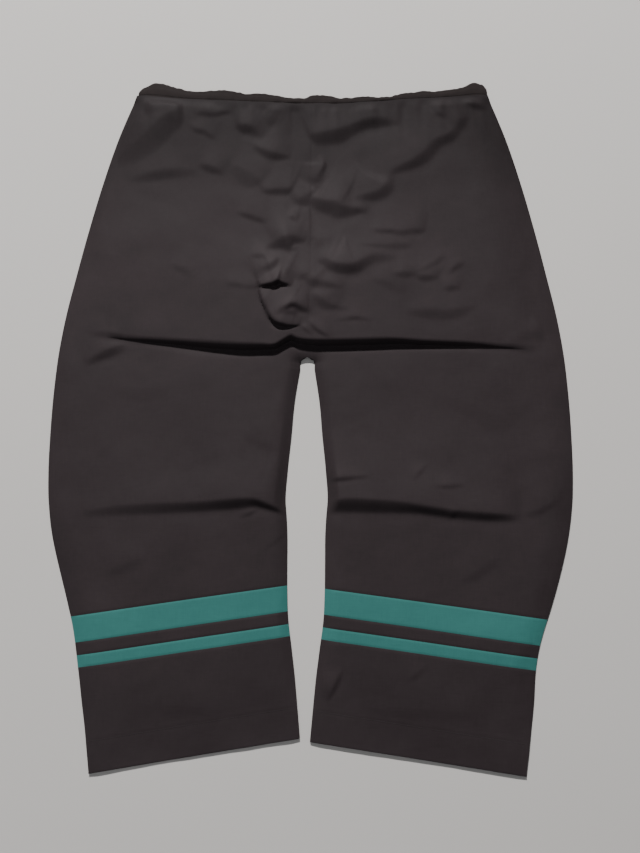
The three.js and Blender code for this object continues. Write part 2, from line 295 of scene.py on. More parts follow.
FOLDS = [
    # The great crease across both legs at the crotch, and its fork on the left.
    Fold([(-292, 112, 0, 8), (-280, 111.5, 2, 9), (-262, 109.5, 3.6, 9), (-230, 106.5, 5.4, 9),
          (-190, 104.5, 7.5, 10), (-150, 102.5, 10, 12), (-100, 99, 12, 12), (-66, 97.5, 12, 10),
          (-50, 96.5, 11.5, 8), (-38, 103.5, 11.5, 8), (-25, 110.5, 12, 9), (-14, 106.5, 12, 9),
          (0, 104.5, 12, 9), (28, 104.5, 12, 10), (86, 106.5, 12, 11), (125, 106.5, 11, 9.5),
          (158, 104.5, 9.2, 9), (230, 102, 6.1, 8.2), (258, 100, 4.3, 8), (280, 98, 2.7, 7.5),
          (310, 95.5, 0, 7)],
         60, lean=0.15, rolled=True),
    Fold([(272, 98, 0, 6), (292, 97, 1.5, 10), (308, 95, 1.2, 10), (326, 94, 0, 6)], 16),
    Fold([(332, 102, 0, 4), (326, 120, 1.6, 6), (317, 140, 0, 4)], 10),
    Fold([(-318, 110, 0, 5), (-300, 113, 1.5, 10), (-280, 111, 1.8, 10), (-264, 108, 0, 6)], 16),
    Fold([(-322, 66, 0, 6), (-305, 78, 2.5, 10), (-285, 88, 3.2, 12), (-262, 96, 0, 10)], 14),
    # The creases across the knees.
    Fold([(-318, -146, 0, 8), (-300, -143, 1.5, 10), (-266, -138, 2.8, 13), (-210, -134, 5, 15),
          (-154, -132, 6.2, 14), (-98, -127, 8, 15), (-73, -127, 7.8, 12), (-56, -133, 6.4, 9),
          (-38, -141, 4, 6), (-26, -148, 2, 4)], 34, trough=0.05),
    Fold([(8, -149, 3, 7), (26, -136, 7.5, 13), (50, -127, 9.8, 19), (86, -127.5, 9.8, 19),
          (126, -130, 8.9, 17), (158, -135, 7.6, 13), (196, -141, 6.8, 12), (235, -144.5, 6.8, 12),
          (266, -146.5, 5.6, 11), (294, -148.5, 0, 9)], 38, trough=0.05),
    Fold([(-96, -152, 0, 4), (-82, -147, 1.4, 4), (-66, -140, 0, 3)], 8),
    Fold([(196, -157, 0, 3), (202, -148, 0.9, 3), (209, -139, 0, 3)], 5),
    Fold([(6, -102, 1.8, 4), (40, -98, 2.5, 5), (92, -93, 0, 4)], 9),
    Fold([(176, -106, 0, 4), (196, -107, 1.2, 5), (222, -105, 0, 4)], 7),
    Fold([(146, -103, 0, 3), (156, -89, 1.2, 3), (169, -74, 0, 3)], 5),
    Fold([(296, -148, 0, 6), (322, -138, 1.4, 9), (350, -122, 0, 6)], 14),
    # The seat, left of the centre seam, from the waist down.
    Fold([(-290, 372, 0, 20), (-262, 398, 4.2, 30), (-245, 414, 6, 32), (-230, 431, 6, 32),
          (-206, 446, 5.1, 26), (-190, 452, 0, 16)], 20, trough=0.05),
    Fold([(-240, 468, 0, 3), (-242, 456, 1.7, 7), (-244, 442, 0, 3)], 8),
    Fold([(-176, 446, 0, 3), (-160, 446, 1.3, 6), (-145, 445, 1.3, 6), (-130, 449, 1.3, 6),
          (-116, 448, 0, 3)], 10),
    Fold([(-182, 431, 0, 3), (-171, 420, 1.2, 5), (-159, 418, 1.4, 6), (-150, 411, 1.2, 5),
          (-141, 405, 0, 3)], 8),
    Fold([(-114, 425, 0, 6), (-104, 427, 3.1, 13), (-91, 425, 3.4, 13), (-81, 417, 1.7, 10),
          (-73, 406, 0, 5)], 14),
    Fold([(-74, 441, 0, 8), (-60, 439, 1.3, 16), (-46, 430, 0, 8)], 14),
    Fold([(-88, 400, 0, 4), (-75, 390, 2, 8), (-59, 384, 3.2, 12), (-44, 380, 2.2, 8),
          (-30, 378, 0, 4)], 16),
    Fold([(-166, 366, 0, 4), (-155, 364, 1.9, 9), (-141, 359, 1.9, 9), (-128, 350, 0, 4)], 12),
    Fold([(-120, 365, 0, 10), (-100, 357, 2.2, 20), (-82, 346, 2.2, 20), (-70, 337, 0, 8)], 18),
    Fold([(-272, 342, 0, 6), (-240, 352, 1.9, 14), (-215, 357, 2.4, 15), (-190, 358, 1.7, 14),
          (-166, 356, 0, 8)], 20),
    Fold([(-72, 322, 0, 3), (-66, 325, 1.7, 7), (-50, 327, 2.4, 9), (-34, 327, 2.2, 9),
          (-28, 325, 0, 4)], 16),
    Fold([(-110, 292, 0, 3), (-98, 289, 1.4, 5), (-85, 285, 1.7, 6), (-75, 281, 1.5, 6),
          (-63, 276, 0, 3)], 14),
    Fold([(-35, 286, 0, 3), (-28, 284, 1.5, 6), (-19, 277, 0, 3)], 8),
    Fold([(-70, 236, 0, 4), (-56, 243, 2.4, 10), (-46, 249, 5.5, 19), (-37, 253, 7.2, 25),
          (-27, 254, 5.1, 18), (-17, 251, 2.5, 9), (-7, 248, 0, 3)], 18),
    Fold([(-30, 232, 0, 2), (-25, 236, 1.4, 3.5), (-18, 239, 0, 2)], 4),
    Fold([(-90, 225, 0, 3), (-76, 226, 1.2, 6), (-60, 223, 0, 3)], 9),
    Fold([(-80, 194, 0, 8), (-71, 205, 2.9, 11), (-60, 212, 3.7, 11), (-52, 218, 2.2, 6),
          (-46, 223, 0, 3)], 12),
    Fold([(-124, 181, 0, 4), (-112, 184, 1, 6), (-95, 181, 0.8, 6), (-80, 180, 0.8, 6)], 10),
    Fold([(-206, 213, 0, 5), (-183, 206, 1, 8), (-166, 190, 0, 5)], 12),
    # The deep pucker above the crotch: a pocket, the V-shaped fold under it, and a small ring.
    Fold([(-77, 179, 0, 2), (-65, 182.5, 5, 4), (-55, 184.5, 6.5, 4.5), (-46, 188, 7.6, 4.5),
          (-38, 185, 5.6, 4), (-26, 180, 0, 2)], 12, lean=0.35, rolled=True),
    Fold([(-49, 188, 3.4, 4), (-46, 197, 2.5, 4), (-46, 207, 0, 2)], 6),
    Fold([(-71, 174, 3, 3.5), (-66, 162, 5.2, 5), (-59, 148, 5.6, 5.5), (-53, 138, 6.6, 6.5),
          (-47, 131, 7, 7), (-40, 128, 7, 7), (-31, 125.5, 5, 6), (-22, 124, 3, 4),
          (-10, 123.5, 0, 2)], 13, lean=0.35, rolled=True),
    Fold([(-45, 137, 0, 3), (-38, 147, 3.2, 5), (-28, 153, 4.9, 6), (-19, 153, 4.9, 7),
          (-8, 148, 3.2, 7), (4, 143, 0, 4)], 9, lean=0.1),
    Fold([(-38, 138, 0, 3), (-31, 143, 1.9, 5), (-23, 142, 1.9, 5), (-17, 136, 0, 3)], 4),
    Fold([(-11, 123, 0, 2), (-4, 117, 1.3, 3), (5, 109, 0, 2)], 4),
    Fold([(-2, 132, 0, 2), (9, 120, 1.7, 3.5), (20, 112, 1.7, 3.5), (32, 105, 0, 2)], 6),
    # The seat, right of the centre seam.
    Fold([(-6, 409, 0, 12), (4, 413, 3.4, 18), (22, 416, 4.8, 20), (40, 420, 5.6, 21),
          (56, 426, 3.8, 16), (76, 435, 3.8, 14), (92, 438, 3.8, 15), (110, 437, 2.5, 12),
          (130, 430, 0, 5)], 22),
    Fold([(60, 314, 0, 6), (80, 319, 2.5, 11), (96, 324, 3.6, 15), (107, 333, 3.6, 15),
          (112, 345, 1.4, 9), (116, 356, 1.4, 9), (130, 364, 2.7, 11), (146, 372, 3.9, 14),
          (160, 382, 4.2, 16), (171, 394, 3.4, 15), (183, 406, 3.6, 14), (200, 414, 3.2, 13),
          (210, 424, 2, 11), (218, 438, 2.5, 13), (230, 447, 0, 6)], 26),
    Fold([(174, 445, 0, 4), (186, 447, 1.2, 8), (202, 444, 0, 4)], 10),
    Fold([(224, 468, 0, 3), (232, 467, 2, 7), (244, 464, 2.7, 9), (262, 458, 0, 4)], 10),
    Fold([(2, 336, 0, 4), (6, 345, 1.7, 12), (14, 357, 2.2, 6), (18, 367, 1.7, 4),
          (12, 381, 0, 2)], 10),
    Fold([(-26, 305, 0, 6), (-18, 312, 2.4, 14), (-10, 316, 2.4, 16), (1, 323, 2, 10),
          (5, 328, 0, 4)], 10),
    Fold([(1, 318, 0, 6), (8, 312, 3.8, 15), (22, 308, 5.1, 19), (36, 306, 6, 23),
          (44, 301, 5.1, 21), (56, 298, 3.4, 14), (70, 297, 2.4, 9), (82, 291, 0, 4)], 12),
    Fold([(-4, 240, 0, 5), (-3, 262, 1.4, 8), (-4, 290, 1, 6), (-4, 302, 0, 3)], 6),
    Fold([(5, 236, 0, 10), (14, 252, 1, 14), (8, 272, 0, 6)], 8),
    Fold([(86, 266, 0, 3), (100, 265, 1.4, 6), (116, 264, 1.7, 5), (130, 263, 1.7, 8),
          (145, 266, 1.7, 8), (158, 266, 1.7, 7), (166, 265, 0, 3)], 16),
    Fold([(64, 243, 0, 3), (90, 242, 0.8, 4), (110, 242, 1, 6), (126, 244, 1.5, 9),
          (138, 243, 1.2, 8), (146, 240, 0, 4)], 14),
    Fold([(8, 217, 0, 4), (22, 219, 2.9, 12), (34, 213, 4.7, 13), (48, 211, 5.5, 14),
          (62, 212, 5.1, 14), (74, 219, 3.4, 13), (88, 226, 2.4, 13), (104, 227, 1.7, 12),
          (124, 222, 0, 5)], 18),
    Fold([(-19, 188, 0, 4), (-12, 197, 1.9, 13), (-2, 197, 1.9, 14), (5, 190, 2.9, 12),
          (20, 186, 2.2, 10), (34, 182, 1.4, 6), (47, 177, 0, 3)], 13),
    Fold([(2, 170, 0, 6), (14, 164, 2.5, 12), (26, 156, 2.8, 12), (39, 147, 0, 5)], 14),
    Fold([(116, 198, 0, 3), (130, 200, 1.4, 7), (142, 201, 1.4, 8), (153, 196, 0, 4)], 10),
    Fold([(151, 194, 0, 3), (157, 196, 2, 8), (172, 196, 2, 9), (181, 190, 0, 3)], 12),
    Fold([(148, 200, 0, 3), (168, 211, 0.8, 5), (184, 221, 0.8, 5), (198, 231, 0, 3)], 8),
    Fold([(195, 198, 0, 3), (204, 208, 1.4, 6), (212, 214, 1.4, 6), (223, 217, 0, 3)], 8),
    Fold([(189, 176, 0, 3), (198, 180, 1.7, 8), (207, 181, 1.5, 7), (216, 178, 0, 3)], 10),
    Fold([(86, 190, 0, 5), (102, 190, 1, 9), (118, 185, 1.2, 12), (138, 171, 0, 8)], 16),
    Fold([(134, 147, 0, 8), (155, 147, 1.5, 12), (175, 147, 2.4, 15), (200, 146, 1.9, 14),
          (218, 150, 1.5, 12), (240, 153, 0, 5)], 20),
    Fold([(35, 130, 0, 2), (52, 133, 0.8, 4), (64, 134.5, 1.6, 4), (76, 133, 0.8, 3),
          (92, 130, 0, 2)], 9),
    Fold([(28, 155, 0, 4), (39, 150, 1, 5), (60, 147, 0, 3)], 8),
    # Soft waves in the legs.
    Fold([(-98, -26, 0, 10), (-62, -44, 1, 14), (-34, -52, 0, 10)], 26),
    Fold([(-300, 40, 0, 14), (-240, 30, 0.8, 20), (-180, 34, 0, 14)], 30),
    Fold([(170, 30, 0, 14), (230, 10, 1.1, 20), (280, -30, 0, 14)], 30),
    Fold([(-290, -232, 0, 8), (-262, -222, 1.2, 12), (-225, -206, 0, 8)], 18),
    Fold([(206, -240, 0, 8), (232, -226, 1.2, 12), (262, -204, 0, 8)], 18),
    Fold([(-240, -412, 0, 9), (-190, -410, 0.5, 13), (-130, -414, 0.5, 13), (-85, -412, 0, 9)], 14),
    Fold([(45, -408, 0, 9), (110, -410, 0.5, 13), (190, -414, 0.5, 13), (242, -418, 0, 9)], 14),
    Fold([(29, -402, 0, 3), (38, -382, 2.7, 6), (51, -357, 0, 3)], 9),
    Fold([(136, -376, 0, 3), (150, -366, 1, 5), (168, -352, 0, 3)], 9),
]

MAP_STEP = 1.25 * MM
MAP_X, MAP_Y = -400 * MM, -520 * MM  # the map's first corner
MAP_COLUMNS, MAP_ROWS = 641, 833


def blurred(values, spread):
    """The map smoothed by a bell curve of the given spread, in steps, along both directions."""
    reach = round(3 * spread)
    weights = bell(np.arange(-reach, reach + 1), spread * math.sqrt(2))
    for axis in (-1, -2):
        rolls = [np.roll(values, k - reach, axis) * w for k, w in enumerate(weights)]
        values = sum(rolls) / weights.sum()
    return values


def map_folds():
    """The (x, y, z) displacement of all the folds on a square net. Rolled ones stay crisp."""
    x = MAP_X + MAP_STEP * np.arange(MAP_COLUMNS)
    y = MAP_Y + MAP_STEP * np.arange(MAP_ROWS)
    x, y = np.meshgrid(x, y)
    soft, crisp = np.zeros((3, *x.shape)), np.zeros((3, *x.shape))
    for fold in FOLDS:
        fold.add_to(x, y, crisp if fold.rolled else soft)
    return blurred(soft, 1.3) + crisp


FOLD_MAP = map_folds()


def folds_at(x, y):
    """The folds' displacement at flat places, read between the four nearest places of the net."""
    u, v = (x - MAP_X) / MAP_STEP, (y - MAP_Y) / MAP_STEP
    i, j = np.floor(u).astype(int), np.floor(v).astype(int)
    near = mix(FOLD_MAP[:, j, i], FOLD_MAP[:, j, i + 1], u - i)
    far = mix(FOLD_MAP[:, j + 1, i], FOLD_MAP[:, j + 1, i + 1], u - i)
    return mix(near, far, v - j)


# ---- The two layers ----
crown_over = through(
    np.array([480, 420, 380, 325, 280, 235, 190, 145, 100, 60, -300, -500]) * MM,
    np.array([14, 12, 12.2, 13.2, 13.8, 13.6, 12.5, 9.9, 7.7, 7.6, 7.5, 7.5]) * MM,
)
RIPPLES = [(95 * MM, 1.2 * MM, 11), (40 * MM, 0.55 * MM, 12), (17 * MM, 0.16 * MM, 13)]
GATHERS_FADE = 30 * MM  # below the waistband
TUCK = 14 * MM  # over this height the cloth comes level with the waistband
INSEAM_ROUND = 26 * MM  # width over which the cloth curves down to the inseam
SIDE_ROUND_LEG, SIDE_ROUND_SEAT = 38 * MM, 75 * MM  # the same at the side seam
DITCH_DEPTH, DITCH_WIDTH = 0.45 * MM, 1.4 * MM  # along the stripes' seams
CENTRE_DEPTH, CENTRE_WIDTH = 0.28 * MM, 2.5 * MM  # along the centre back seam
HEM_RELIEF, HEM_RELIEF_WIDTH = 0.12 * MM, 2 * MM  # the hem's edge and the ditch of its stitches
BACK_HELD, FRONT_HELD = 16 * MM, 30 * MM  # the folds die away this close to an edge


def stripe_row(drop):
    """A slanted row across a leg, lowered by drop, from 0 at the inseam to -1 or 1 at the side."""
    return lambda across: mix(STRIPE_TOP_INNER, STRIPE_TOP_OUTER, np.abs(across)) - drop


def hem_row(across):
    """The lower edge of a leg."""
    return mix(HEM_INNER, HEM_OUTER, np.abs(across))


def share_across(x, y):
    """0 at the inseam or centre and 1 at the side seam."""
    inner = gap_half(y)
    return np.clip((np.abs(x) - inner) / (side_half(y) - inner), 0, 1)


def edge_distance(x, y):
    """How far a place is from the side seam, and from the inseam or the crotch."""
    from_side = np.maximum(side_half(y) - np.abs(x), 0)
    foot = CROTCH - CROTCH_ARCH
    beyond = np.maximum(np.abs(x) - inseam_half(np.minimum(y, foot)), 0)
    return from_side, np.hypot(beyond, np.maximum(y - foot, 0))


def lifted(distance, width):
    """0 at an edge and 1 a width away from it, steepest at the edge: 1 - (1 - d)^2.2."""
    return 1 - np.clip(1 - distance / width, 0, 1) ** 2.2


def band_radius(share):
    """Half the height between the middles of the waistband's two layers, over the half width."""
    return mix(WAIST_MIDDLE, WAIST_END, share**4)


def back_layer(x, y):
    """The back layer's upper side: a crown over the hollow legs and seat, with folds, ripples, a
    ditch along each seam, and gathers that die away below the waist."""
    from_side, from_inseam = edge_distance(x, y)
    above_hem = y - hem_row(share_across(x, y))
    edge = mix(HEM_EDGE, SEAM_EDGE, ease(above_hem, HEM_DEPTH * 0.6, HEM_DEPTH * 1.6))
    width = mix(SIDE_ROUND_LEG, SIDE_ROUND_SEAT, ease(y, HIP_FOLD, HIP_FOLD + 120 * MM))
    lift = lifted(from_side, width) * lifted(from_inseam, INSEAM_ROUND)
    shift = folds_at(x, y)
    for size, height, seed in RIPPLES:
        shift[2] += height * bumps(x, y, size, seed)
    below_band = band_foot(x) - y
    gathers = 0.9 * pleats(x, 9 * MM, 21) + 1.3 * pleats(x + 0.3 * y, 17 * MM, 22)
    shift[2] += gathers * MM * np.exp(-np.maximum(below_band, 0) / GATHERS_FADE)
    for drop in STRIPE_SEAMS:
        away = y - stripe_row(drop)(share_across(x, y))
        shift[2] -= DITCH_DEPTH * bell(away, DITCH_WIDTH)
    edge_ridge = bell(above_hem - HEM_DEPTH, HEM_RELIEF_WIDTH)
    stitch_ditch = bell(above_hem - HEM_DEPTH + HEM_STITCH_DROP, HEM_RELIEF_WIDTH)
    shift[2] += HEM_RELIEF * (edge_ridge - stitch_ditch)
    seat = ease(y, CROTCH + 20 * MM, CROTCH + 60 * MM)
    shift[2] -= CENTRE_DEPTH * seat * bell(x, CENTRE_WIDTH)
    held = ease(np.minimum(from_side, from_inseam), 0, BACK_HELD)
    crown = mix(HEM_EDGE + 0.5 * MM, crown_over(y), ease(above_hem, 0, 110 * MM))
    z = edge + (crown - edge) * lift + shift[2] * held
    z = np.maximum(z, edge * mix(1, 0.8, held))
    under_band = BAND_HALF + 2 * band_radius(np.abs(x) / side_half(y)) + 0.75 * MM
    z = mix(z, under_band, ease(below_band, TUCK, 0))
    x, y = settled(x, y)
    return np.stack([x + shift[0] * held, y + shift[1] * held, z], -1)


def front_layer(x, y):
    """The front layer's lower side: flat on the floor, with slight waves where it isn't pressed."""
    from_side, from_inseam = edge_distance(x, y)
    held = ease(np.minimum(from_side, from_inseam), 0, FRONT_HELD)
    z = FLOOR_CLEARANCE + 0.35 * MM * held * (1 + bumps(x, y, 50 * MM, 31))
    below_band = band_foot(x) - y
    z = mix(z, BAND_HALF - 0.3 * MM, ease(below_band, TUCK, 0))
    return np.stack([*settled(x, y), z], -1)


# ---- Meshes ----
def grid_faces(rows, columns, wrap):
    """Four-sided faces of a grid of points numbered row by row, closed on itself if it wraps."""
    r = np.arange(rows - 1)[:, None] * columns
    c = np.arange(columns if wrap else columns - 1)[None, :]
    n = (c + 1) % columns
    return np.stack([r + c, r + n, r + columns + n, r + columns + c], -1).reshape(-1, 4)


def make_mesh(name, points, faces, flat, material):
    """An object whose mesh has these points and faces, with the flat places as its UV map."""
    mesh = bpy.data.meshes.new(name)
    mesh.from_pydata(points.reshape(-1, 3).tolist(), [], [list(face) for face in faces])
    mesh.polygons.foreach_set("use_smooth", np.ones(len(mesh.polygons), bool))
    mesh.set_sharp_from_angle(angle=math.radians(55))
    corners = np.zeros(len(mesh.loops), int)
    mesh.loops.foreach_get("vertex_index", corners)
    layer = mesh.uv_layers.new(name="cloth")
    layer.data.foreach_set("uv", flat.reshape(-1, 2)[corners].ravel().astype(np.float32))
    mesh.materials.append(material)
    obj = bpy.data.objects.new(name, mesh)
    bpy.context.scene.collection.objects.link(obj)
    return obj


def grid_normals(points, wrap):
    """Unit normals of a grid of points: the cross product of its row and column directions."""
    if wrap:
        wide = np.concatenate([points[:, -1:], points, points[:, :1]], 1)
        across = np.gradient(wide, axis=1)[:, 1:-1]
    else:
        across = np.gradient(points, axis=1)
    normals = np.cross(across, np.gradient(points, axis=0))
    return normals / np.maximum(np.linalg.norm(normals, axis=-1, keepdims=True), 1e-12)


def shell(name, outer, flat, outward, material, thickness=CLOTH, wrap=False):
    """A closed sheet of cloth: the outer grid, the same grid moved in by the thickness, and a rim
    that joins their edges. The first row faces outward."""
    rows, columns = outer.shape[:2]
    normals = grid_normals(outer, wrap)
    facing = np.sign((normals[0] * outward).sum(-1).mean())
    inner = outer - thickness * facing * normals
    sheet = grid_faces(rows, columns, wrap)
    count = rows * columns
    number = np.arange(count).reshape(rows, columns)
    edges = [(number[0], False), (number[-1], True)]
    if wrap:
        edges = [(np.append(e, e[0]), back) for e, back in edges]
    else:
        edges += [(number[:, 0], True), (number[:, -1], False)]
    faces = [sheet, sheet[:, ::-1] + count]
    for edge, back in edges:
        a, b = (edge[1:], edge[:-1]) if back else (edge[:-1], edge[1:])
        faces.append(np.stack([b, a, a + count, b + count], -1))
    faces = np.concatenate(faces)
    if facing < 0:
        faces = faces[:, ::-1]
    points = np.concatenate([outer.reshape(-1, 3), inner.reshape(-1, 3)])
    return make_mesh(name, points, faces, np.concatenate([flat, flat]), material)


def cloth_grid(side, low, high, columns, rows, shares=(0, 1)):
    """Flat places of a panel between two rows across one side, closer together near its edges."""
    u = np.linspace(0, 1, columns)
    share = mix(shares[0], shares[1], (u + 0.5 - 0.5 * np.cos(np.pi * u)) / 2)
    v = np.asarray(rows)[:, None]
    y = mix(low(side * share), high(side * share), v)
    return side * mix(gap_half(y), side_half(y), share), y


def spaced(length, spacing):
    """Shares from 0 to 1, about the spacing apart over the length."""
    return np.linspace(0, 1, max(2, round(length / spacing) + 1))


CROWDING = 22 * MM  # how near a crease the points are closer together


def crowded(low, high, spacing, creases):
    """Shares from 0 to 1 from y = low to high, three times as close together near each crease."""
    y = np.linspace(low, high, 2000)
    density = np.ones_like(y)
    for crease in creases:
        density += 2 * bell(y - crease, CROWDING)
    total = np.cumsum(density) - density[0]
    steps = round(density.mean() * (high - low) / spacing)
    return np.interp(np.linspace(0, total[-1], steps + 1), total, (y - low) / (high - low))


# ---- Materials ----
class Value:
    """A shader socket in a Python expression: each operation adds one Math node."""

    def __init__(self, shader, socket):
        self.shader, self.socket = shader, socket

    def maths(self, operation, *values):
        return self.shader.node("ShaderNodeMath", {"operation": operation}, dict(enumerate(values)))

    def __add__(self, other):
        return self.maths("ADD", self, other)

    def __sub__(self, other):
        return self.maths("SUBTRACT", self, other)

    def __mul__(self, other):
        return self.maths("MULTIPLY", self, other)

    def sine(self):
        return self.maths("SINE", self)

    __radd__, __rmul__ = __add__, __mul__


class Shader:
    """A material under construction."""

    def __init__(self, name):
        self.material = bpy.data.materials.new(name)
        self.material.use_nodes = True
        self.tree = self.material.node_tree
        self.surface = self.tree.nodes["Principled BSDF"]

    def node(self, kind, settings, inputs, output=0):
        """Adds a node, sets its settings, fills its sockets, and gives one of its outputs."""
        node = self.tree.nodes.new(kind)
        for key, value in settings.items():
            setattr(node, key, value)
        self.fill(node, inputs)
        return Value(self, node.outputs[output])

    def fill(self, node, inputs):
        for key, value in inputs.items():
            if isinstance(value, Value):
                self.tree.links.new(value.socket, node.inputs[key])
            else:
                node.inputs[key].default_value = value


def woven(name, dark, light, roughness, thread=0.45 * MM, gloss=0.15, sheen=0.03):
    """Plain-woven nylon. The weave is the product of a sine across the warp and one across the
    weft, uneven threads run both ways, and soft blotches vary its colour and gloss. Towards the
    waist its colour is painted darker, as painted shade."""
    shader = Shader(name)
    place = shader.node("ShaderNodeTexCoord", {}, {}, "UV")
    solid = shader.node("ShaderNodeTexCoord", {}, {}, "Object")
    u = shader.node("ShaderNodeSeparateXYZ", {}, {0: place}, "X")
    v = shader.node("ShaderNodeSeparateXYZ", {}, {0: place}, "Y")
    turns = math.pi / thread
    weave = (u * turns).sine() * (v * turns).sine()

    def noise(at, stretch, scale, detail):
        mapped = shader.node("ShaderNodeMapping", {}, {"Vector": at, "Scale": stretch})
        wanted = {"Vector": mapped, "Scale": scale, "Detail": detail}
        return shader.node("ShaderNodeTexNoise", {}, wanted, "Fac")

    slubs = noise(place, (1, 0.04, 1), 900, 2) + noise(place, (0.04, 1, 1), 900, 2) - 1
    blotches = noise(solid, (1, 1, 1), 9, 3) - 0.5
    grain = noise(solid, (1, 1, 1), 160, 2) - 0.5
    # Painted shade: the tone is made darker towards the waist, from y = 0.18 to 0.48 m.
    waistward = shader.node("ShaderNodeSeparateXYZ", {}, {0: solid}, "Y")
    waist_shade_range = {"Value": waistward, "From Min": 0.18, "From Max": 0.48}
    painted_waist_shade = shader.node("ShaderNodeMapRange", {"interpolation_type": "SMOOTHSTEP"}, waist_shade_range)
    tone = 0.55 + weave * 0.10 + slubs * 0.55 + blotches * 0.9 + grain * 0.3 - painted_waist_shade
    colours = {"Factor": tone, 6: (*dark, 1), 7: (*light, 1)}
    colour = shader.node("ShaderNodeMix", {"data_type": "RGBA", "clamp_factor": False}, colours, 2)
    relief = weave * 0.35 + slubs * 0.8 + grain * 0.5
    bump = {"Height": relief, "Strength": 0.35, "Distance": 0.12 * MM}
    normal = shader.node("ShaderNodeBump", {}, bump)
    shader.fill(shader.surface, {
        "Base Color": colour,
        "Roughness": roughness + blotches * 0.15 + slubs * 0.1,
        "Normal": normal,
        "Specular IOR Level": gloss,
        "Sheen Weight": sheen,
        "Sheen Roughness": 0.45,
    })
    return shader.material


BLACK = woven("black_nylon", (0.0162, 0.0117, 0.0130), (0.0285, 0.0215, 0.0236), 0.7)
BAND = woven("band_nylon", (0.0212, 0.0162, 0.0160), (0.0335, 0.0266, 0.0262), 0.75, gloss=0.1)
TEAL = woven("teal_nylon", (0.023, 0.112, 0.103), (0.035, 0.150, 0.138), 0.7)
THREAD = woven("black_thread", (0.022, 0.018, 0.019), (0.045, 0.039, 0.041), 0.6, 0.25 * MM)
ELASTIC = woven("black_elastic", (0.012, 0.011, 0.012), (0.030, 0.027, 0.029), 0.8, 0.9 * MM)


# ---- Cloth panels ----
def join_row(across):
    """The level row where a leg's two long pieces meet."""
    return THIGH_JOIN + 0 * across


def tucked_row(across):
    """The upper edge of the legs' cloth, tucked into the waistband."""
    return waist_seam(across) + 1.5 * MM


def bend_at_hip(piece):
    """Bakes the piece's placement into its mesh; it is not made to bend."""
    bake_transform(piece)


def bend_at_knee(piece):
    """Bakes the piece's placement into its mesh; it is not made to bend."""
    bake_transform(piece)


def flat_area(x, y):
    """The area of a grid of flat places, summed over its cells."""
    ax, ay = x[1:, 1:] - x[:-1, :-1], y[1:, 1:] - y[:-1, :-1]
    bx, by = x[1:, :-1] - x[:-1, 1:], y[1:, :-1] - y[:-1, 1:]
    return float(np.abs(ax * by - ay * bx).sum() / 2)


def declare(x, y, turned_up=0.0):
    """Works out a piece's flat size, measured along and across its lower edge, with a strip turned
    up along its hem, and its flat area; these are not passed on or stored."""
    slant = math.atan2(y[0, -1] - y[0, 0], x[0, -1] - x[0, 0])
    width = float(np.ptp(x * math.cos(slant) + y * math.sin(slant)))
    length = float(np.ptp(y * math.cos(slant) - x * math.sin(slant))) + turned_up
    area = flat_area(x, y) + turned_up * width * HEM_NARROWING


def panel(name, side, low, high, rows, columns, surface, outward, material):
    """One panel of a leg's cloth between two rows, and its flat places."""
    x, y = cloth_grid(side, low, high, columns, rows)
    return shell(name, surface(x, y), np.stack([x, y], -1), outward, material), x, y


def turned_hem(surface, side, columns, spacing, outward):
    """The cuff's outer side down to the hem, round its fold, and back up inside it."""
    low, high = hem_row, stripe_row(STRIPE_SEAMS[3])
    x, y = cloth_grid(side, low, high, columns, spaced(high(0.5) - low(0.5), spacing))
    outer = surface(x, y)
    normals = grid_normals(outer, False)
    normals *= np.sign((normals * outward).sum(-1).mean())
    turn = np.linspace(0, math.pi, 7)[1:, None, None]
    down = np.array([0, -1, 0])
    centre = outer[0] - HEM_ROLL * normals[0]
    fold = centre + HEM_ROLL * (np.cos(turn) * normals[0] + np.sin(turn) * down)
    rows = int(np.searchsorted(y[:, 0] - y[0, 0], HEM_DEPTH))
    inside = outer[1:rows] - 2 * HEM_ROLL * normals[1:rows]
    points = np.concatenate([outer[::-1], fold, inside])
    along = np.concatenate([y[::-1], y[:1] - np.sin(turn[:, :, 0]) * HEM_ROLL, 2 * y[0] - y[1:rows]])
    across = np.concatenate([x[::-1], np.repeat(x[:1], len(turn), 0), x[1:rows]])
    return points, np.stack([across, along], -1), x, y


